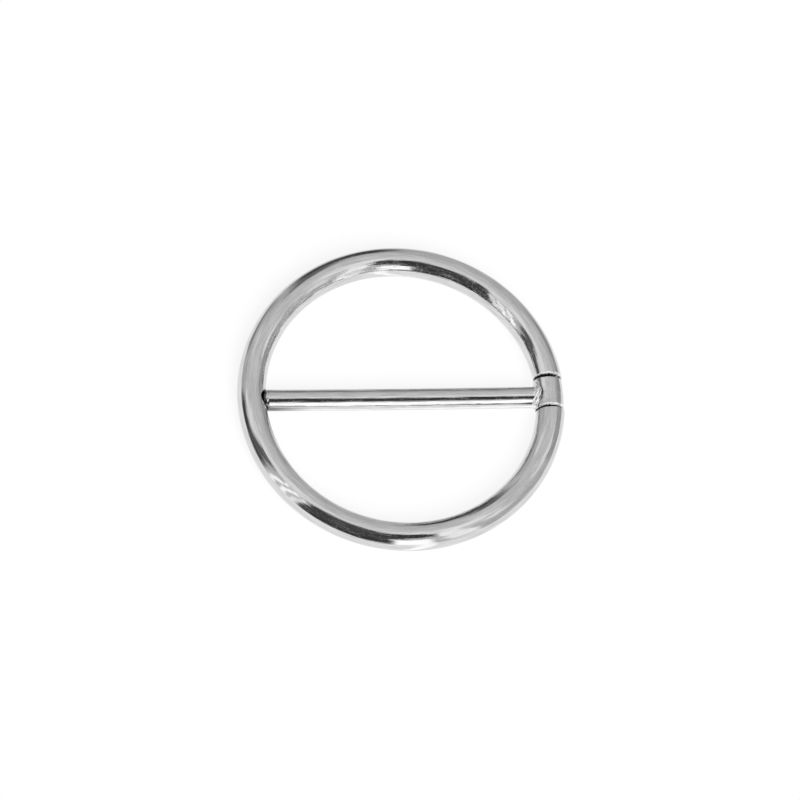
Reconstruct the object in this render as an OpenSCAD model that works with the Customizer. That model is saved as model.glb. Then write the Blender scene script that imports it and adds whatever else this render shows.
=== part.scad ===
// Open nipple ring of round wire, closed by a cross bar that pulls straight out.
// The ring lies on its side: its plane is level, the bar runs along X, and the
// origin is under the ring's centre on the surface that it rests on.

/* [Hoop] */
// Diameter of the ring's wire
wire_d = 1.6; // [1.4:0.1:2]
// Clear diameter inside the ring
inner_d = 15; // [12:0.5:19]
// Width of the opening between the hoop's two flat ends
opening_w = 1.92; // [1.8:0.01:3]
// How far the opening's middle lies to the +Y side of the bar
opening_shift = 0.075; // [0:0.005:0.1]

/* [Cross bar] */
// Diameter of the bar that goes through the piercing
bar_d = 1.2; // [0.9:0.1:1.2]
// Diameter of the flat left at the tip of the rounded nose
nose_flat_d = 0.5; // [0.3:0.1:0.8]
// How far the bar's straight stretch ends inside the hoop's inner wall
nose_set_back = 0.12; // [0:0.02:0.2]
// Length of the taper between the straight stretch and the nose
taper_l = 0.14; // [0.1:0.02:0.2]
// How far the taper draws in the bar's radius
taper_h = 0.05; // [0.01:0.01:0.1]
// Length of the weld bead on the bar, in front of the segment
bead_l = 0.3; // [0.1:0.05:0.6]
// How far the bead stands off the bar at its thick end
bead_h = 0.1; // [0.05:0.01:0.15]

/* [Closing segment] */
// Seam between the segment and the hoop's end on the +Y side
seam_far = 0.11; // [0.03:0.01:0.2]
// Seam between the segment and the hoop's end on the -Y side
seam_near = 0.07; // [0.03:0.01:0.2]
// How far the segment lies inside the hoop's centre line
segment_inset = 0.05; // [0:0.01:0.1]

/* [Socket] */
// Radial clearance around the bar's end
socket_clearance = 0.03; // [0.01:0.01:0.1]
// Clearance between the tip of the nose and the socket's floor
tip_clearance = 0.13; // [0.05:0.01:0.4]

/* [Hidden] */
$fn = 96;
titanium = [0.65, 0.65, 0.65];
wire_r = wire_d / 2;
bar_r = bar_d / 2;
// Radii of the two centre lines
hoop_r = inner_d / 2 + wire_r;
segment_r = hoop_r - segment_inset;
// The hoop's flat end on each side of the bar
end_far = opening_shift + opening_w / 2;
end_near = opening_shift - opening_w / 2;
bar_end = nose_set_back - inner_d / 2;
shoulder_r = bar_r - taper_h;
shoulder = bar_end - taper_l;
nose_r = shoulder_r - nose_flat_d / 2;
socket_floor = shoulder - nose_r - tip_clearance;
// The bead's thick end lies just inside the segment's surface
bead_r = bar_r + bead_h;
bead_end = segment_r - sqrt(pow(wire_r, 2) - pow(bead_r, 2)) + bead_h;
bead_start = segment_r - wire_r - bead_l;

// A closed ring of the wire with its centre line at radius r
module wire_ring(r) {
    rotate_extrude() translate([r, 0]) circle(r = wire_r);
}

// The part of the wire's path at +X that lies between y_near and y_far
module opening_block(y_near, y_far) {
    translate([hoop_r - wire_d, y_near, -wire_d])
        cube([2 * wire_d, y_far - y_near, 2 * wire_d]);
}

// A round bar along X from x0 to x1 that changes from radius r0 to r1
module along_x(x0, x1, r0, r1) {
    translate([x0, 0, 0]) rotate([0, 90, 0]) cylinder(h = x1 - x0, r1 = r0, r2 = r1);
}

// Half section of the nose: a flat tip with a rounded shoulder
module nose_section() {
    intersection() {
        square([shoulder_r, nose_r]);
        union() {
            square([nose_flat_d / 2, nose_r]);
            translate([nose_flat_d / 2, 0]) circle(r = nose_r);
        }
    }
}

// Ring of round wire, open at +X, with a blind socket in its inner wall at -X
module hoop() {
    color(titanium) translate([0, 0, wire_r]) difference() {
        wire_ring(hoop_r);
        opening_block(end_near, end_far);
        along_x(socket_floor, bar_end + wire_d, bar_r + socket_clearance, bar_r + socket_clearance);
    }
}

// Straight bar with a short taper and a rounded nose, soldered to the short
// piece of the hoop's wire that fills the hoop's opening
module cross_bar() {
    color(titanium) translate([0, 0, wire_r]) {
        intersection() {
            wire_ring(segment_r);
            opening_block(end_near + seam_near, end_far - seam_far);
        }
        along_x(bar_end, segment_r, bar_r, bar_r);
        along_x(shoulder, bar_end, shoulder_r, bar_r);
        translate([shoulder, 0, 0]) rotate([0, -90, 0]) rotate_extrude() nose_section();
        along_x(bead_start, bead_end, bar_r, bead_r);
    }
}

hoop();
cross_bar();
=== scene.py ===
from math import cos, degrees, pi, radians, sin, sqrt

import bpy
import numpy as np
from mathutils import Matrix, Vector


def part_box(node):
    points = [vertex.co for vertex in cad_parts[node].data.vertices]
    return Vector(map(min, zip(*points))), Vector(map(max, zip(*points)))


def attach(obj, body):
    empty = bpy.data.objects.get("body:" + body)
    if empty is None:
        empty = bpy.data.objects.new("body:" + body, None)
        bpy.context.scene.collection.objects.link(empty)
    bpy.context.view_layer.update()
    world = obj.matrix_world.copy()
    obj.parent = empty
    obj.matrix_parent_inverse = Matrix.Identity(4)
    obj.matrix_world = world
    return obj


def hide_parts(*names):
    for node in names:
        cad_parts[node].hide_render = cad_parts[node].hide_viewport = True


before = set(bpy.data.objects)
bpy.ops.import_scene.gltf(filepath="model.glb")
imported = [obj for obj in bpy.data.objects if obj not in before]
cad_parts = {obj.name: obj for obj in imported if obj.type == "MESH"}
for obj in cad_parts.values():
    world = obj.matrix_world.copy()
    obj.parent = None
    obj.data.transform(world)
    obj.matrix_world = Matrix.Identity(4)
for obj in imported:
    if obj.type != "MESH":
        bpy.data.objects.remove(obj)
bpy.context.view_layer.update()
mm = 0.001


# Camera
# A long lens looks down at the ring from 0.8 m away, 65 degrees above the floor and a little to
# the ring's left. It is rolled until the cross bar lies level in the picture.
camera_azimuth = radians(-17.9)
camera_elevation = radians(64.82)
camera_roll = radians(15.635)
camera_distance = 0.8
picture_px = 800
px_per_mm = 18.127
ring_right_px = 1.06
ring_up_px = 1.21
sensor_mm = 36


def camera_axes(azimuth, elevation, roll):
    """Right, up and backward axes of a camera that looks at the origin. Azimuth 0 looks along +Y.
    The level pair is turned about the line of sight by the roll."""
    back = Vector((sin(azimuth) * cos(elevation), -cos(azimuth) * cos(elevation), sin(elevation)))
    level = Vector((0, 0, 1)).cross(back).normalized()
    upright = back.cross(level)
    right = cos(roll) * level + sin(roll) * upright
    up = cos(roll) * upright - sin(roll) * level
    return right, up, back


right, up, back = camera_axes(camera_azimuth, camera_elevation, camera_roll)
ring_centre = Vector((0, 0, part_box("hoop")[1].z / 2))
aim = ring_centre - (ring_right_px * right + ring_up_px * up) * mm / px_per_mm
camera_data = bpy.data.cameras.new("camera")
camera_data.sensor_width = sensor_mm
camera_data.lens = sensor_mm * px_per_mm * camera_distance / mm / picture_px
camera_data.clip_start = 0.05
camera_data.clip_end = 20
camera = bpy.data.objects.new("camera", camera_data)
camera.matrix_world = Matrix.Translation(aim + camera_distance * back) @ Matrix(
    (right, up, back)).transposed().to_4x4()
bpy.context.scene.collection.objects.link(camera)
bpy.context.scene.camera = camera


# Hoop
# One length of round titanium wire, bent into a ring and left open at +X, with a blind hole for
# the bar's tip in the inner wall opposite. Its ends are sawn and filed flat. A buffing wheel has
# polished it along the wire, which leaves fine lines, low waves and a row of very low dents.
wire_r = 0.8 * mm
ring_r = 8.3 * mm
far_end_y = 1.035 * mm
near_end_y = -0.885 * mm
far_end_edge_r = 0.09 * mm
near_end_edge_r = 0.04 * mm
far_end_burr = 0.035 * mm
near_end_burr = 0.018 * mm
socket_r = 0.63 * mm
socket_floor_x = -7.95 * mm
socket_edge_r = 0.03 * mm
hoop_rows = 560
hoop_columns = 144
patch_angle = radians(7)
patch_around = radians(62)
hole_ring = 10
dent_pitch = 0.66 * mm
dent_depth = 3e-3 * mm
dents_angle = radians(39.6)
dents_spread = radians(7.5)
jag_waves = (11, 23, 37, 53)
# Widths of the painted shade beside the near and the far seam
near_seam_shade = 0.02 * mm
near_seam_shade_jag = 0.01 * mm
far_seam_shade = 0.06 * mm
far_seam_shade_jag = 0.04 * mm
# The painted highlight on the far end's burr: its distance from the seam, how ragged and how wide
burr_highlight_in = 0.115 * mm
burr_highlight_jag = 0.03 * mm
burr_highlight_width = 0.045 * mm
# Up to this share of the wire's radius, a row belongs to an end's flat face
face_share = 0.93
# Painted shade on the end faces, in a band inside their rim, and in the socket's hole
face_shade = 0.3
rim_shade = 0.6
hole_shade = 0.9
coarse_full_y = 3 * mm
# The inner edge carries a painted reflection of the shade beside the bar. It is full from start
# to fade and gone at end
shade_around = radians(164)
shade_spread = radians(20)
mirrored_shade_dark = 0.9
shade_start_y = -0.6 * mm
shade_fade_y = -1.9 * mm
shade_end_y = -3.4 * mm


def wire_points(angle, around, centre_r, section_r):
    """Points of a ring of round wire that lies on the floor. The angle turns about +Z from +X,
    around turns about the wire from its outer side over its top, section_r is the distance from
    the wire's own centre line, and centre_r is that line's distance from the ring's centre."""
    reach = centre_r + section_r * np.cos(around)
    return np.stack([reach * np.cos(angle), reach * np.sin(angle),
                     wire_r + section_r * np.sin(around)], axis=-1)


def ramp(value, start, stop):
    """0 up to start, 1 from stop on and straight between them. It runs downwards where start is
    the larger of the two."""
    return np.clip((value - start) / (stop - start), 0, 1)


def ripple(around, seed, waves=(3, 7, 12, 19, 26)):
    """A ragged line round a section, from -1 to 1: a few sines with whole numbers of waves, each
    a little weaker than the one before and shifted by a seeded random phase."""
    phases = np.random.default_rng(seed).uniform(0, 2 * pi, len(waves))
    weights = [1 / (i + 2) for i in range(len(waves))]
    total = sum(w * np.sin(k * around + p) for w, k, p in zip(weights, waves, phases))
    return total / sum(weights)


def end_rows(side_y, outward, centre_r, around, edge_r, wobble):
    """Rows of an end that is cut square to Y, from the middle of its face to the edge: flat rings,
    then a quarter round of radius edge_r that runs into the wire. The wobble moves the cut
    inwards. Returns each row's angle on the ring and its section radius."""
    flat = np.linspace(0, 1, 8)[:-1]
    turn = np.linspace(0, pi / 2, 7)
    section = np.concatenate([(wire_r - edge_r) * flat, wire_r - edge_r * (1 - np.sin(turn))])
    depth = np.concatenate([0 * flat, edge_r * (1 - np.cos(turn))])
    share = section / wire_r
    y = side_y - outward * (depth[:, None] + wobble[None, :] * share[:, None] ** 2)
    section = np.broadcast_to(section[:, None], y.shape)
    reach = centre_r + section * np.cos(around)
    return np.arcsin(y / reach), section


def face_middle(y, centre_r):
    """The middle of an end face that is cut at y."""
    return [sqrt(centre_r ** 2 - y ** 2), y, wire_r]


def shown_side(around):
    """1 round the wire, where the painted shade of a seam lies, and 0 on its outer side, where
    none is painted."""
    return ramp(np.cos(around), 0.6, 0.2)


def seam_shade(distance, width, shown):
    """Painted shade beside a seam: full up to 0.3 times the width from the seam and gone at 1.3
    times the width. The width may change from point to point."""
    return np.clip(1.3 - distance / width, 0, 1) * shown


def face_shade_band(section, shown):
    """Painted shade on an end's flat face: it lies in a band inside the rim, next to the seam, and
    thins out towards the middle and on the side that isn't shown."""
    return face_shade + rim_shade * shown * ramp(section / wire_r, 0.35, 0.6)


def painted_burr_highlight(distance, place, width):
    """Painted highlight on a burr beside a seam: a bell round the burr's own distance from the
    seam.
    """
    return np.exp(-((distance - place) / width) ** 2)


def grid_faces(rows, columns):
    """Quads between the rows of a grid whose columns close on themselves."""
    row = np.arange(rows - 1)[:, None]
    column = np.arange(columns)[None, :]
    after = (column + 1) % columns
    quads = np.stack([row * columns + column, (row + 1) * columns + column,
                      (row + 1) * columns + after, row * columns + after], axis=-1)
    return quads.reshape(-1, 4)


def fan_faces(ring, pole, outward):
    """Triangles from a ring of points to the point in its middle."""
    after = np.roll(ring, -1)
    pair = (ring, after) if outward else (after, ring)
    return np.stack([pair[0], pair[1], np.full(len(ring), pole)], axis=-1)


def build_piece(name, points, quads, triangles, along, material, masks):
    """A smooth mesh object from whole arrays. The attribute along holds, in millimetres, each
    point's place across the wire and its distance along it, for the lines of the polish. Masks
    are named values at the points, for the material."""
    faces = [*quads.tolist(), *triangles.tolist()]
    mesh = bpy.data.meshes.new(name)
    mesh.from_pydata(points.tolist(), [], faces)
    mesh.shade_smooth()
    attribute = mesh.attributes.new("along", "FLOAT_VECTOR", "POINT")
    attribute.data.foreach_set("vector", (along / mm).astype(np.float32).ravel())
    for mask, values in masks.items():
        attribute = mesh.attributes.new(mask, "FLOAT", "POINT")
        attribute.data.foreach_set("value", values.astype(np.float32))
    mesh.materials.append(material)
    mesh.validate()
    piece = bpy.data.objects.new(name, mesh)
    bpy.context.scene.collection.objects.link(piece)
    return piece


def along_ring(points, centre_r):
    """Place across the wire and distance along it. The distance is measured from the opening."""
    reach = np.hypot(points[:, 0], points[:, 1])
    turned = np.arctan2(-points[:, 1], -points[:, 0]) + pi
    return np.stack([reach - centre_r, points[:, 2] - wire_r, centre_r * turned], axis=-1)


class Signal:
    """A socket of a shader tree. Arithmetic on signals adds Math nodes to their tree."""

    def __init__(self, socket):
        self.socket = socket

    @staticmethod
    def node(tree, kind, settings, sockets, output=0):
        """Adds a node: its settings first, then the value or link of each socket."""
        made = tree.nodes.new(kind)
        for name, value in settings.items():
            setattr(made, name, value)
        for name, value in sockets.items():
            if isinstance(value, Signal):
                tree.links.new(value.socket, made.inputs[name])
            else:
                made.inputs[name].default_value = value
        return Signal(made.outputs[output]) if made.outputs else None

    def math(self, operation, *others):
        values = dict(enumerate((self, *others)))
        return Signal.node(self.socket.id_data, "ShaderNodeMath", {"operation": operation}, values)

    def __add__(self, other):
        return self.math("ADD", other)

    def __sub__(self, other):
        return self.math("SUBTRACT", other)

    def __mul__(self, other):
        return self.math("MULTIPLY", other)

    def __truediv__(self, other):
        return self.math("DIVIDE", other)

    def __rsub__(self, other):
        return (self * -1) + other

    __radd__ = __add__
    __rmul__ = __mul__

    def smooth_step(self, start, stop):
        """0 up to start and 1 from stop on, with a soft change between them."""
        return Signal.node(self.socket.id_data, "ShaderNodeMapRange",
                           {"interpolation_type": "SMOOTHSTEP"},
                           {"Value": self, "From Min": start, "From Max": stop})


def empty_tree(owner):
    """The shader tree of a material or a world, without its nodes."""
    owner.use_nodes = True
    owner.node_tree.nodes.clear()
    return owner.node_tree


# The metal's grey, and what a full mask adds to it or takes from it
metal_grey = 0.67
frost_and_highlight_pale = 0.14
frost_rough = 0.26
frost_metal = 0.35
dull_dark = 0.06
dull_rough = 0.12
dull_metal = 0.12
painted_shade_dark = 0.95


def titanium(name, line_height, wave_height, grain_height, roughness):
    """Polished titanium. Fine lines run along the wire, low waves cross it, and a fine grain
    lies over both; heights are in metres. Single scratches and pits are duller than the rest. The
    pale mask is pale rough metal, such as the filler metal's skin, and also a painted highlight on
    burrs and fold crests. Coarse is grain that the wheel didn't reach. The dark mask is painted
    shade in seams, the socket, creases and the crack, and painted reflections of shade."""
    material = bpy.data.materials.new(name)
    tree = empty_tree(material)
    place = Signal.node(tree, "ShaderNodeAttribute", {"attribute_name": "along"}, {}, output=1)
    frost_and_highlight, coarse, painted_shade = (
        Signal.node(tree, "ShaderNodeAttribute", {"attribute_name": mask}, {}, output=2)
        for mask in ("frost_and_highlight", "coarse", "painted_shade"))

    def noise(stretch, detail, seed):
        """Noise on the piece, with that many features per millimetre across and along it."""
        moved = Signal.node(tree, "ShaderNodeMapping", {},
                            {"Vector": place, "Location": (seed, 2 * seed, 3 * seed),
                             "Scale": (stretch[0], stretch[0], stretch[1])})
        return Signal.node(tree, "ShaderNodeTexNoise", {"noise_dimensions": "3D"},
                           {"Vector": moved, "Scale": 1.0, "Detail": detail, "Roughness": 0.55})

    lines = noise((7, 0.35), 2, 3.1)
    hairs = noise((14, 0.9), 1, 7.7)
    waves = noise((1.1, 0.9), 1, 5.3)
    grain = noise((12, 9), 1, 1.9)
    height = (lines + hairs * (0.3 + 0.7 * coarse)) * line_height + waves * wave_height
    height = height + grain * grain_height * (1 + coarse)
    bump = Signal.node(tree, "ShaderNodeBump", {}, {"Height": height, "Distance": 1.0})
    scratch = hairs.smooth_step(0.52, 0.72)
    pit = grain.smooth_step(0.55, 0.72)
    dull = 0.5 * scratch + 0.5 * pit * (1 + coarse)
    speckle = (hairs - 0.5) * (0.4 + 0.5 * coarse) + (grain - 0.5) * (0.1 + 0.35 * coarse)
    # The pale mask lightens the grey, partly as a painted highlight, and the dark mask darkens it
    # as painted shade
    grey = (metal_grey + speckle - dull_dark * dull + frost_and_highlight_pale * frost_and_highlight) * (1 - painted_shade_dark * painted_shade)
    rough = roughness + dull_rough * dull + frost_rough * frost_and_highlight
    metallic = 1 - frost_metal * frost_and_highlight - dull_metal * dull
    shader = Signal.node(tree, "ShaderNodeBsdfPrincipled", {},
                         {"Base Color": grey, "Metallic": metallic, "Roughness": rough,
                          "Normal": bump})
    Signal.node(tree, "ShaderNodeOutputMaterial", {}, {"Surface": shader})
    return material


def hoop_marks(surface, section, around):
    """Painted shade, pale frost and coarse grain at the grid's points. Painted shade lies beside
    both seams and on the end faces, and a painted reflection of shade lies on the inner edge beside
    the bar. The far end's burr is frosted as a painted highlight, and the inner wall is coarse,
    most of all near its top and on the +Y side."""
    x, y = surface[..., 0], surface[..., 1]
    # The half at -X has no ends, so it counts as a metre away from them
    beyond_far = np.where(x > 0, y - far_end_y, 1)
    beyond_near = np.where(x > 0, near_end_y - y, 1)
    shown = shown_side(around)
    jags = ripple(around, 6, jag_waves)
    near_width = near_seam_shade + near_seam_shade_jag * jags
    far_width = far_seam_shade + far_seam_shade_jag * jags
    painted_shade = np.maximum(seam_shade(np.abs(beyond_near), near_width, shown),
                      seam_shade(np.abs(beyond_far), far_width, shown))
    painted_shade = np.where(section < face_share * wire_r, face_shade_band(section, shown), painted_shade)
    highlight = painted_burr_highlight(beyond_far, burr_highlight_in + burr_highlight_jag * jags, burr_highlight_width)
    frost_and_highlight = highlight * (1.4 + 1.3 * jags) * (1 - painted_shade)
    beside_bar = (x < 0) * (y < shade_start_y) * ramp(y, shade_end_y, shade_fade_y)
    inner_edge = np.exp(-((around - shade_around) / shade_spread) ** 4)
    painted_shade = np.maximum(painted_shade, mirrored_shade_dark * beside_bar * inner_edge)
    coarse = ramp(-np.cos(around), 1 / 3, 2 / 3) * np.clip(8 * np.sin(around) - 3.6, 0.15, 1)
    coarse = coarse * np.clip(y / coarse_full_y, 0.3, 1)
    return painted_shade, frost_and_highlight, coarse


def build_hoop():
    """The wire's surface is a grid of rows along the ring and columns round the wire. Each end
    closes on a flat face, and a rectangle of the grid gives way to the socket's patch. The dents
    are squared cosines along the inner wall that fade out to both sides. Also returns the masks,
    which hold painted shade in the hole and are coarse beyond the grid."""
    around = np.linspace(0, 2 * pi, hoop_columns, endpoint=False)
    far_angle, far_section = end_rows(far_end_y, -1, ring_r, around, far_end_edge_r,
                                      far_end_burr * ripple(around, 4))
    near_angle, near_section = end_rows(near_end_y, 1, ring_r, around, near_end_edge_r,
                                        near_end_burr * ripple(around, 9))
    start, stop = far_angle[-1], 2 * pi + near_angle[-1]
    close_rows = np.array([0.0006, 0.0012, 0.0018, 0.0025, 0.0034])
    share = np.concatenate([close_rows, np.linspace(0.005, 0.995, hoop_rows),
                            1 - close_rows[::-1]])[:, None]
    body_angle = start + (stop - start) * share
    angle = np.concatenate([far_angle[1:], body_angle, 2 * pi + near_angle[:0:-1]])
    turned = body_angle - dents_angle
    dents = np.cos(pi * (ring_r - wire_r) * turned / dent_pitch) ** 2
    dents = dents * np.exp(-(turned / dents_spread) ** 4) * np.clip(-np.cos(around), 0, 1)
    section = np.concatenate([far_section[1:], wire_r - dent_depth * dents, near_section[:0:-1]])
    surface = wire_points(angle, around, ring_r, section)
    rows = len(angle)
    painted_shade, frost_and_highlight, coarse = hoop_marks(surface, section, around)

    middle = rows // 2
    row_span = int(patch_angle / (2 * pi) * hoop_rows)
    column_span = int(patch_around / (2 * pi) * hoop_columns)
    first_row, last_row = middle - row_span, middle + row_span
    first_column, last_column = hoop_columns // 2 - column_span, hoop_columns // 2 + column_span
    quads = grid_faces(rows, hoop_columns)
    row_of, column_of = np.divmod(quads[:, 0], hoop_columns)
    kept = ~((row_of >= first_row) & (row_of < last_row)
             & (column_of >= first_column) & (column_of < last_column))
    quads = quads[kept]
    across = np.arange(first_column, last_column)
    downwards = np.arange(first_row, last_row)
    border = np.concatenate([first_row * hoop_columns + across,
                             downwards * hoop_columns + last_column,
                             last_row * hoop_columns + across[::-1] + 1,
                             (downwards[::-1] + 1) * hoop_columns + first_column])

    flat = surface.reshape(-1, 3)
    patch = socket_points(flat[border])
    poles = np.array([face_middle(far_end_y, ring_r), face_middle(near_end_y, ring_r),
                      [socket_floor_x, 0, wire_r]])
    points = np.concatenate([flat, patch.reshape(-1, 3), poles])
    # Painted shade in the socket's hole, starting at its rim
    in_hole = np.minimum(ramp(np.arange(patch.shape[0]), hole_ring, hole_ring + 3), hole_shade)
    painted_shade = np.concatenate([painted_shade.ravel(), np.repeat(in_hole, patch.shape[1]),
                           [face_shade, face_shade, hole_shade]])
    beyond_grid = len(points) - len(flat)
    frost_and_highlight = np.concatenate([frost_and_highlight.ravel(), np.zeros(beyond_grid)])
    coarse = np.concatenate([coarse.ravel(), np.ones(beyond_grid)])
    size = len(border)
    ids = np.concatenate([border[None, :],
                          len(flat) + np.arange(patch.shape[0] * size).reshape(-1, size)])
    after = np.roll(ids, -1, axis=1)
    patch_quads = np.stack([ids[:-1], ids[1:], after[1:], after[:-1]], axis=-1).reshape(-1, 4)
    first_pole = len(points) - len(poles)
    triangles = np.concatenate([
        fan_faces(np.arange(hoop_columns), first_pole, True),
        fan_faces((rows - 1) * hoop_columns + np.arange(hoop_columns), first_pole + 1, False),
        fan_faces(ids[-1], first_pole + 2, False)])
    quads = np.concatenate([quads, patch_quads])

    used = np.unique(np.concatenate([quads.ravel(), triangles.ravel()]))
    place = np.full(len(points), -1)
    place[used] = np.arange(len(used))
    masks = {"painted_shade": painted_shade[used], "frost_and_highlight": frost_and_highlight[used], "coarse": coarse[used]}
    return points[used], place[quads], place[triangles], masks


def socket_points(border):
    """Rings of points from a border on the wire's inner wall into the blind hole: spread to the
    hole's rim on the wall, then a small quarter round, the wall along -X and the flat floor."""
    turn = np.arctan2(border[:, 2] - wire_r, border[:, 1])
    rim = (socket_r + socket_edge_r) * np.stack([np.cos(turn), np.sin(turn)], axis=-1)
    outline = np.stack([border[:, 1], border[:, 2] - wire_r], axis=-1)

    def on_wall(flat):
        reach = ring_r - np.sqrt(wire_r ** 2 - flat[..., 1] ** 2)
        return -np.sqrt(reach ** 2 - flat[..., 0] ** 2)

    share = (1 - (1 - np.linspace(0, 1, hole_ring + 1)[1:]) ** 2)[:, None, None]
    spread = outline + (rim - outline) * share
    rings = [np.dstack([on_wall(spread), spread])]
    edge_x = on_wall(rim)
    for bend in np.linspace(0, pi / 2, 6)[1:]:
        radius = socket_r + socket_edge_r * (1 - sin(bend))
        ring = np.column_stack([edge_x - socket_edge_r * (1 - cos(bend)),
                                radius * np.cos(turn), radius * np.sin(turn)])
        rings.append(ring[None])
    start = rings[-1][0]
    floor_edge = socket_floor_x + socket_edge_r
    for depth in np.linspace(0, 1, 7)[1:]:
        ring = start.copy()
        ring[:, 0] += (floor_edge - start[:, 0]) * depth
        rings.append(ring[None])
    for bend in np.linspace(0, pi / 2, 5)[1:]:
        radius = socket_r - socket_edge_r * (1 - cos(bend))
        rings.append(np.column_stack([np.full(len(turn), floor_edge - socket_edge_r * sin(bend)),
                                      radius * np.cos(turn), radius * np.sin(turn)])[None])
    for radius in (0.7 * socket_r, 0.35 * socket_r):
        rings.append(np.column_stack([np.full(len(turn), socket_floor_x),
                                      radius * np.cos(turn), radius * np.sin(turn)])[None])
    patch = np.concatenate(rings)
    patch[..., 2] += wire_r
    return patch


polish = titanium("polished titanium", 8e-6, 1.0e-5, 7e-7, 0.035)
hoop_points, hoop_quads, hoop_triangles, hoop_masks = build_hoop()
hoop = build_piece("hoop_wire", hoop_points, hoop_quads, hoop_triangles,
                   along_ring(hoop_points, ring_r), polish, hoop_masks)
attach(hoop, "hoop")
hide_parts("hoop")


# Bar
# A straight round titanium rod, thinner than the hoop's wire. Its free tip is turned to a soft
# nose that enters the socket, and its other end goes into the closing segment. It is polished
# along its length.
bar_r = 0.6 * mm
bar_tip_x = -7.82 * mm
nose_r = 0.3 * mm
shoulder_r = 0.55 * mm
taper_l = 0.14 * mm
bar_end_x = 8.1 * mm
bar_bow = 0.068 * mm
bar_bow_way = np.array([0, -0.74, 0.67])
bar_bow_half = 7.5 * mm
bar_rows = 220
bar_columns = 96
# Where the nose's painted shade starts, and where the painted reflection of shade on the bar's
# lower side begins and is full
nose_dark_x = -7.54 * mm
nose_dark_fade = 0.04 * mm
bar_mirrored_shade = 0.75
bar_shade_start_x = -4.9 * mm
bar_shade_full_x = -7.1 * mm


def turned_piece(x, radius, columns):
    """A closed body turned about the bar's axis: a ring of points for each place and radius of
    the profile, which starts and ends on the axis. Returns its points, quads and triangles."""
    around = np.linspace(0, 2 * pi, columns, endpoint=False)
    inner_x, inner_r = x[1:-1, None], radius[1:-1, None]
    rings = np.stack([inner_x + 0 * around, inner_r * np.cos(around),
                      wire_r + inner_r * np.sin(around)], axis=-1)
    poles = np.array([[x[0], 0, wire_r], [x[-1], 0, wire_r]])
    points = np.concatenate([rings.reshape(-1, 3), poles])
    rows = len(inner_x)
    quads = grid_faces(rows, columns)[:, ::-1]
    first, last = np.arange(columns), (rows - 1) * columns + np.arange(columns)
    triangles = np.concatenate([fan_faces(first, rows * columns, False),
                                fan_faces(last, rows * columns + 1, True)])
    return points, quads, triangles


def along_bar(points):
    """Place across the bar and distance along it."""
    return np.column_stack([points[:, 1], points[:, 2] - wire_r, points[:, 0]])


nose_turn = np.linspace(0, pi / 2, 14)
shoulder_x = bar_tip_x + nose_r
taper = np.linspace(0, 1, 7)[1:]
body_x = np.linspace(shoulder_x + taper_l, bar_end_x, bar_rows)[1:]
bar_x = np.concatenate([[bar_tip_x], bar_tip_x + nose_r * (1 - np.cos(nose_turn)),
                        shoulder_x + taper_l * taper, body_x, [bar_end_x]])
bar_radius = np.concatenate([[0], shoulder_r - nose_r * (1 - np.sin(nose_turn)),
                             shoulder_r + (bar_r - shoulder_r) * np.sin(taper * pi / 2),
                             np.full(len(body_x), bar_r), [0]])
bar_points, bar_quads, bar_triangles = turned_piece(bar_x, bar_radius, bar_columns)
# Between the inner walls the bar bows up and towards -Y by a hair
from_middle = np.clip(bar_points[:, 0] / bar_bow_half, -1, 1)
bar_points += bar_bow * (1 - from_middle ** 2)[:, None] * bar_bow_way
# Inside the socket the nose is painted dark: painted shade, as no light reaches it
in_socket = ramp(bar_points[:, 0], nose_dark_x, nose_dark_x - nose_dark_fade)
# Near the socket the bar's lower side carries a painted reflection of the shade between the bar
# and the hoop
shade = bar_mirrored_shade * ramp(bar_points[:, 0], bar_shade_start_x, bar_shade_full_x)
shade = shade * ramp((bar_points[:, 2] - wire_r) / bar_r, 0.48, 0.36)
bar_painted_shade = np.maximum(np.minimum(in_socket, hole_shade), shade)
bar = build_piece("bar", bar_points, bar_quads, bar_triangles, along_bar(bar_points), polish,
                  {"painted_shade": bar_painted_shade})
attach(bar, "bar")
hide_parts("cross_bar")


# Closing segment
# A short piece of the same wire as the hoop. It is soldered across the bar's end and fills the
# hoop's opening, a hair inside the hoop's line, with a seam at each end. The filler metal has
# run over its inner side and ends at a crack, which is painted dark as shade.
segment_r = 8.25 * mm
segment_far_y = 0.925 * mm
segment_near_y = -0.815 * mm
segment_far_edge_r = 0.04 * mm
segment_near_edge_r = 0.07 * mm
segment_far_burr = 0.02 * mm
segment_near_burr = 0.015 * mm
segment_rows = 110
segment_columns = 320
segment_face_share = 0.9
skin_edge = 0.03 * mm
crack_width = 0.052 * mm
crack_depth = 0.02 * mm
crack_jag = 0.016 * mm
crack_jags_per_mm = 7
crack_slope_step = 0.02 * mm
crack_open_y = -0.05 * mm
crack_open_half = 0.25 * mm
crack_fade_y = 0.65 * mm
crack_end_y = 0.85 * mm
# How far the marks reach above the crack, and over what distance they fade there
scraped_reach = 0.22 * mm
haze_reach = 0.26 * mm
crack_shade_band_reach = 0.18 * mm
edge_fade = 0.1 * mm
haze_frost = 0.3
# How dark the painted shade above the crack is
crack_shade_band_dark = 0.25


def crack_height(y):
    """Height above the wire's middle of the line where the filler metal ends on the segment: it
    climbs from the far seam, is level over the bar and drops beside the near seam."""
    return np.interp(y / mm, (-0.62, -0.55, -0.50, -0.42, -0.33, 0.12, 0.45, 0.95),
                     (0.44, 0.46, 0.48, 0.53, 0.59, 0.625, 0.53, 0.33)) * mm


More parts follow.
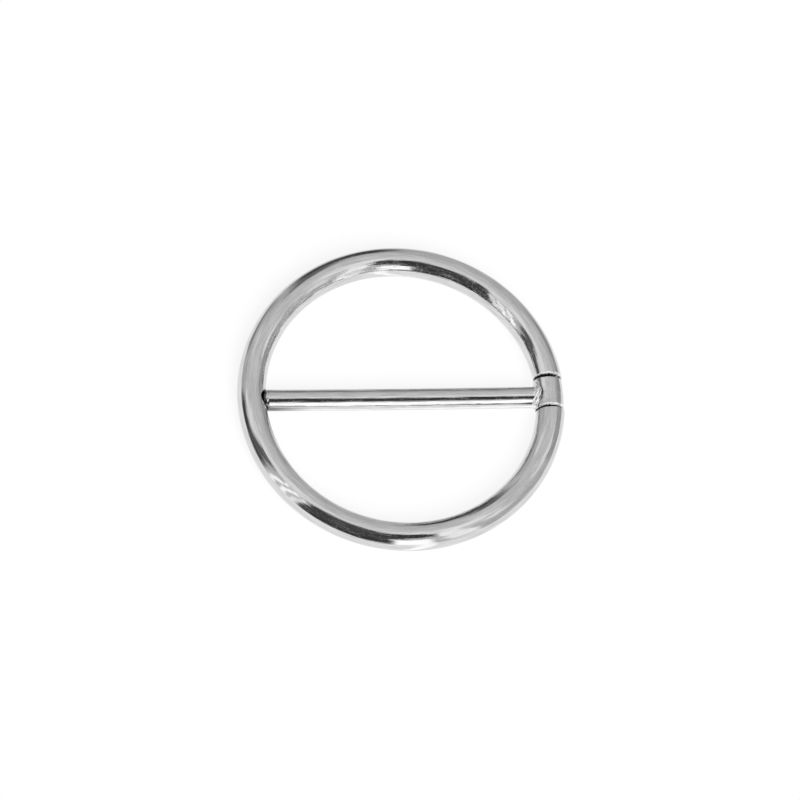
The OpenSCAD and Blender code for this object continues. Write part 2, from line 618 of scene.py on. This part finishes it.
def segment_marks(around, y, section, below, crack):
    """Pale frost and painted shade at the grid's points. The filler metal's skin below the crack is
    frosted, less so towards the far seam. So are a haze above the crack and a strip that is scraped
    towards the far seam, and the near end's burr is frosted as a painted highlight. Painted shade
    lies in the crack, in a band above it, at both seams and on the end faces."""
    inner = np.cos(around) < 0
    skin = ramp(below, -skin_edge / 2, skin_edge / 2) * (1 - 0.4 * ramp(y, 0.25 * mm, 0.45 * mm))
    scraped = ramp(y, 0.3 * mm, 0.55 * mm) * ramp(below, -scraped_reach, edge_fade - scraped_reach)
    scraped = scraped * (0.4 + 0.4 * ramp(y, 0.55 * mm, 0.75 * mm))
    haze = haze_frost * ramp(below, -haze_reach, edge_fade - haze_reach)
    frost_and_highlight = inner * np.maximum(skin, np.maximum(scraped, haze))
    shown = shown_side(around)
    near_jags = ripple(around, 32, jag_waves)
    far_jags = ripple(around, 33, (9, 19, 34, 51))
    to_near = y - segment_near_y
    to_far = segment_far_y - y
    black = seam_shade(to_near, (0.015 + 0.01 * near_jags) * mm, shown)
    # Painted highlight on the near end's burr, as pale frost
    highlight = painted_burr_highlight(to_near, (0.11 + 0.02 * near_jags) * mm, 0.04 * mm)
    frost_and_highlight = np.maximum(frost_and_highlight, highlight * (1.6 + 1.2 * near_jags) * (1 - black))
    black = np.maximum(black, seam_shade(to_far, (0.04 + 0.03 * far_jags) * mm, shown))
    black = np.where(section < segment_face_share * wire_r, face_shade_band(section, shown), black)
    # Painted shade in a band above the crack, fading out away from it
    crack_shade_band = crack_shade_band_dark * inner * (below < 0) * ramp(below, -crack_shade_band_reach, 0)
    on_wire = section > segment_face_share * wire_r
    return frost_and_highlight * on_wire, np.maximum(np.maximum(crack, crack_shade_band) * on_wire, black)


def build_segment():
    """The same grid as the hoop's, between two flat ends, with a groove along the crack. Also
    returns the masks."""
    around = np.linspace(0, 2 * pi, segment_columns, endpoint=False)
    far_angle, far_section = end_rows(segment_far_y, 1, segment_r, around, segment_far_edge_r,
                                      segment_far_burr * ripple(around, 21))
    near_angle, near_section = end_rows(segment_near_y, -1, segment_r, around,
                                        segment_near_edge_r, segment_near_burr * ripple(around, 35))
    share = np.linspace(0, 1, segment_rows)[1:-1, None]
    body_angle = near_angle[-1] + (far_angle[-1] - near_angle[-1]) * share
    angle = np.concatenate([near_angle[1:], body_angle, far_angle[:0:-1]])
    section = np.concatenate([near_section[1:], np.full(body_angle.shape, wire_r),
                              far_section[:0:-1]])
    y = (segment_r + section * np.cos(around)) * np.sin(angle)
    below = crack_height(y) - section * np.sin(around)
    below = below + crack_jag * ripple(y / mm * crack_jags_per_mm, 8)
    rise = crack_height(y + crack_slope_step) - crack_height(y - crack_slope_step)
    below /= np.sqrt(1 + (rise / (2 * crack_slope_step)) ** 2)
    # The crack is painted dark as shade, darkest round crack_open_y and fading out towards the far
    # seam
    crack = (np.cos(around) < 0) * np.exp(-(below / crack_width) ** 2)
    crack *= 0.85 + 0.75 * np.exp(-((y - crack_open_y) / crack_open_half) ** 4)
    crack = np.minimum(crack, 1) * ramp(y, crack_end_y, crack_fade_y)
    frost_and_highlight, painted_shade = segment_marks(around, y, section, below, crack)
    surface = wire_points(angle, around, segment_r, section - crack_depth * crack).reshape(-1, 3)
    poles = np.array([face_middle(segment_near_y, segment_r),
                      face_middle(segment_far_y, segment_r)])
    points = np.concatenate([surface, poles])
    rows = len(angle)
    ring = np.arange(segment_columns)
    triangles = np.concatenate([
        fan_faces(ring, len(surface), True),
        fan_faces((rows - 1) * segment_columns + ring, len(surface) + 1, False)])
    masks = {"frost_and_highlight": np.append(frost_and_highlight, [0, 0]),
             "painted_shade": np.append(painted_shade, [face_shade, face_shade])}
    return points, grid_faces(rows, segment_columns), triangles, masks


segment_points, segment_quads, segment_triangles, segment_masks = build_segment()
segment = build_piece("closing_segment", segment_points, segment_quads, segment_triangles,
                      along_ring(segment_points, segment_r), polish, segment_masks)
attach(segment, "bar")
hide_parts("cross_bar")


# Weld bead
# Filler metal that has run round the joint between the bar and the segment. It was left as it
# froze, pale and wrinkled, thin on top of the bar and thick at its sides.
bead_start_x = 7.29 * mm
bead_start_skew = 0.11 * mm
bead_start_jag = 0.04 * mm
bead_core_x = 7.9 * mm
bead_side = 0.175 * mm
bead_side_skew = 0.05 * mm
bead_sunk = 0.012 * mm
bead_overlap = 0.03 * mm
bead_wrinkle = 0.014 * mm
bead_folds = 24
fold_way = (0.86, 0.51)
bead_rows = 80
bead_columns = 256


def build_bead():
    """A collar round the bar. Each line along it runs straight from a ragged start on the bar to
    the segment's surface, at a distance from the bar's axis that changes around the bar. Seeded
    sines that all run near one direction push it in and out, which stand for the frozen folds.
    Also returns each point's fold, from about -2 in a crease to 2 on a crest, and the painted shade
    where the bead ends at the crack."""
    around = np.linspace(0, 2 * pi, bead_columns, endpoint=False)
    beside = np.cos(around)
    start_x = bead_start_x + bead_start_skew * beside + bead_start_jag * ripple(around, 17)
    stop_r = bar_r + bead_side * np.abs(beside) + bead_side_skew * beside
    y, z = stop_r * beside, stop_r * np.sin(around)
    stop_x = np.sqrt((segment_r - np.sqrt(wire_r ** 2 - z ** 2)) ** 2 - y ** 2)
    share = np.linspace(0, 1, bead_rows)[:, None]
    x = start_x + (stop_x + bead_overlap - start_x) * share
    start_r = bar_r - bead_sunk
    reach = start_r + (stop_r - start_r) * share ** 0.8
    dice = np.random.default_rng(12)
    across_folds = fold_way[0] * x - fold_way[1] * reach * beside
    along_folds = fold_way[1] * x + fold_way[0] * reach * beside
    fold = np.zeros(x.shape)
    for _ in range(bead_folds):
        waves_across = dice.uniform(20, 45) / mm
        waves_along = dice.uniform(-18, 18) / mm
        phase = dice.uniform(0, 2 * pi)
        fold += np.sin(waves_across * across_folds + waves_along * along_folds + phase)
    fold /= sqrt(bead_folds / 2)
    depth = 1 - 0.75 * ramp(beside, 0.3, 0.6)
    reach += bead_wrinkle * fold * depth * np.minimum(1, share * 6) * np.minimum(1, 5 - 5 * share)
    rings = np.stack([x, reach * beside, wire_r + reach * np.sin(around)], axis=-1)
    points = np.concatenate([rings.reshape(-1, 3),
                             [[bead_start_x, 0, wire_r], [bead_core_x, 0, wire_r]]])
    ring = np.arange(bead_columns)
    last = (bead_rows - 1) * bead_columns
    triangles = np.concatenate([fan_faces(ring, last + bead_columns, False),
                                fan_faces(last + ring, last + bead_columns + 1, True)])
    fold = np.append((fold * depth).ravel(), [0, 0])
    end_shade = np.minimum(ramp(share, 0.88, 0.94), 0.85) * ramp(np.abs(beside), 0.9, 0.6)
    end_shade = np.append(end_shade.ravel(), [0, 0])
    return points, grid_faces(bead_rows, bead_columns)[:, ::-1], triangles, fold, end_shade


bead_points, bead_quads, bead_triangles, bead_fold, bead_end_shade = build_bead()
frozen = titanium("frozen filler metal", 0.0, 8e-6, 4e-6, 0.04)
# The bead is paler towards -Y. Its fold crests are paler still, a painted highlight, and its
# creases and its end at the crack carry painted shade
bead_pale = 1 - 0.6 * ramp(bead_points[:, 1], 0.1 * mm, 0.4 * mm)
bead_masks = {"frost_and_highlight": np.clip(bead_pale + 0.4 * bead_fold, 0.1, 1.6),
              "painted_shade": np.maximum(bead_end_shade, np.clip(-0.8 - bead_fold, 0, 0.8))}
bead = build_piece("weld_bead", bead_points, bead_quads, bead_triangles, along_bar(bead_points),
                   frozen, bead_masks)
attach(bead, "bar")
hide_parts("cross_bar")


# Floor
# A plain white sheet over a light table, wide enough for every view. Most of its light comes
# through it from below, so the ring's shadow is faint. The metal doesn't mirror the sheet itself
# but the glowing table below it, which belongs to the studio.
floor_half = 4.0
floor_white = 0.80
floor_glow = 0.88
floor_mesh = bpy.data.meshes.new("floor")
floor_mesh.from_pydata([(-floor_half, -floor_half, 0), (floor_half, -floor_half, 0),
                        (floor_half, floor_half, 0), (-floor_half, floor_half, 0)],
                       [], [(0, 1, 2, 3)])
floor_material = bpy.data.materials.new("white sheet")
tree = empty_tree(floor_material)
lit = Signal.node(tree, "ShaderNodeBsdfDiffuse", {},
                  {"Color": (floor_white, floor_white, floor_white, 1)})
glowing = Signal.node(tree, "ShaderNodeEmission", {}, {"Strength": 1.0})
sheet = Signal.node(tree, "ShaderNodeMixShader", {}, {0: floor_glow, 1: lit, 2: glowing})
Signal.node(tree, "ShaderNodeOutputMaterial", {}, {"Surface": sheet})
floor_mesh.materials.append(floor_material)
floor = bpy.data.objects.new("floor", floor_mesh)
floor.visible_glossy = False
bpy.context.scene.collection.objects.link(floor)


# Key light
# One large soft lamp shines through the window beside the camera. The metal doesn't mirror the
# lamp itself, only the window that the tent has in its place.
key_azimuth = radians(285)
key_elevation = radians(48)
key_softness = radians(35)
key_strength = 3.9
key_data = bpy.data.lights.new("key", "SUN")
key_data.energy = key_strength
key_data.angle = key_softness
key = bpy.data.objects.new("key", key_data)
towards_key = Vector((cos(key_azimuth) * cos(key_elevation), sin(key_azimuth) * cos(key_elevation),
                      sin(key_elevation)))
key.matrix_world = towards_key.to_track_quat("Z", "Y").to_matrix().to_4x4()
key.visible_glossy = False
bpy.context.scene.collection.objects.link(key)


# Studio
# A white light tent over a light table. Its walls glow softly, the opening towards the camera and
# two gaps are dark, and lamps, strips and a window are bright. The table's glow ends just below the
# horizon, lower at the back. The metal shows all this as grey bands; the floor is lit evenly.
tent_ambient = 0.38
tent_white = 1.0
table_glow = 1.02
table_edge = 4
table_edge_soft = 5
table_edge_back = 20
front_azimuth = 252
# The table's edge is lowest near the back's middle and comes up until it is back_end away
back_azimuth = 72
back_half = 12
back_end = 75
# The window's glare on the table is full near its middle and gone when it is glare_end away
glare_azimuth = 285.5
glare_half = 2
glare_end = 7
glare_glow = 1.45
# The walls brighten by wall_glow_up from low to middle, and as much again from there to the top
wall_glow = 0.55
wall_glow_up = 0.15
wall_low = 20
wall_middle = 60
wall_top = 90
lean = 0.45
lean_start = 45
lean_span = 30
# Each panel: azimuth of its middle, half width, lowest and highest elevation, softness of its
# sides and of its ends, all in degrees, and its brightness
panels = {
    "ceiling light, left": (180, 30, 62, 82, 12, 10, 0.95),
    "ceiling light, right": (315, 28, 62, 84, 16, 10, 1.0),
    "lamp behind, right": (10, 10, 36, 52, 10, 10, 0.95),
    "lower wall behind, right": (14, 14, -5, 34, 10, 10, 0.4),
    "dim corner behind": (36, 12, -8, 14, 10, 10, 0.35),
    "gap behind": (95, 13, -12, 22, 10, 12, 0.05),
    "top of that gap": (100, 6, 15, 44, 8, 14, 0.15),
    "small lamp behind, left": (121, 4, 38, 52, 6, 8, 0.9),
    "dim low wall": (127, 10, -6, 12, 8, 8, 0.3),
    "lamp, left": (156, 11, 36, 62, 10, 10, 0.95),
    "gap, left": (172, 18, -8, 27, 8, 10, 0.07),
    "top of the left gap": (177, 8, 15, 60, 8, 12, 0.12),
    "card behind the strips": (203, 11, -9, 66, 4, 10, 0.7),
    "first strip": (197, 2, -9, 60, 3, 10, 1.4),
    "second strip": (205, 2, -9, 60, 3, 10, 1.4),
    "third strip": (213, 2, -9, 60, 3, 10, 1.4),
    "opening": (246, 32, -5, 80, 8, 12, 0.07),
    "darkest part of the opening": (242, 20, 5, 17, 8, 8, 0.04),
    "shade above the window": (283, 14, 48, 80, 8, 12, 0.05),
    "window": (279, 11, -8, 38, 6, 10, 1.5),
    "card beside the window": (293, 5, -9, 48, 5, 8, 0.65),
    "light, right": (305, 8, 0, 68, 6, 10, 1.15),
    "lamp, right": (331, 8, 38, 54, 10, 12, 0.95),
}

world = bpy.data.worlds.new("tent")
bpy.context.scene.world = world
tree = empty_tree(world)
ray = Signal.node(tree, "ShaderNodeTexCoord", {}, {})
parts = Signal.node(tree, "ShaderNodeSeparateXYZ", {}, {"Vector": ray}).socket.node.outputs
east, north, height = (Signal(part) for part in parts)
azimuth = north.math("ARCTAN2", east) * degrees(1)
elevation = height.math("ARCSINE") * degrees(1)


def wrapped(angle):
    """The same angle, between -180 and 180 degrees."""
    return angle.math("WRAP", 180, -180)


# Towards the top of the tent the walls lean over, which draws the panels apart
leaning = (elevation - lean_start).math("MAXIMUM", 0) / lean_span
from_front = wrapped(azimuth - front_azimuth) / (1 + lean * leaning * leaning)
wall_steps = (elevation.smooth_step(wall_low, wall_middle)
              + elevation.smooth_step(wall_middle, wall_top))
glow = wall_glow + wall_glow_up * wall_steps
for panel_azimuth, half_width, lowest, highest, soft, soft_top, brightness in panels.values():
    offset = (panel_azimuth - front_azimuth + 180) % 360 - 180
    half_height = (highest - lowest) / 2
    beside = wrapped(from_front - offset).math("ABSOLUTE")
    above = (elevation - (lowest + highest) / 2).math("ABSOLUTE")
    inside = (1 - beside.smooth_step(half_width - soft / 2, half_width + soft / 2)) * (
        1 - above.smooth_step(half_height - soft_top / 2, half_height + soft_top / 2))
    glow = glow + inside * (brightness - glow)
from_back = wrapped(azimuth - back_azimuth).math("ABSOLUTE")
edge = table_edge + table_edge_back * (1 - from_back.smooth_step(back_half, back_end))
below_edge = (-1 * elevation - edge).smooth_step(-table_edge_soft, table_edge_soft)
glow = glow + below_edge * (table_glow - glow)
beside_glare = wrapped(azimuth - glare_azimuth).math("ABSOLUTE")
glare = below_edge * (1 - beside_glare.smooth_step(glare_half, glare_end))
glow = glow + glare * (glare_glow - glow)

rays = Signal.node(tree, "ShaderNodeLightPath", {}, {}).socket.node.outputs
glow = glow + Signal(rays["Is Diffuse Ray"]) * (tent_ambient - glow)
glow = glow + Signal(rays["Is Camera Ray"]) * (tent_white - glow)
background = Signal.node(tree, "ShaderNodeBackground", {},
                         {"Color": (1, 1, 1, 1), "Strength": glow})
Signal.node(tree, "ShaderNodeOutputWorld", {}, {"Surface": background})
world.cycles.sampling_method = "NONE"
bpy.context.scene.view_settings.view_transform = "Standard"
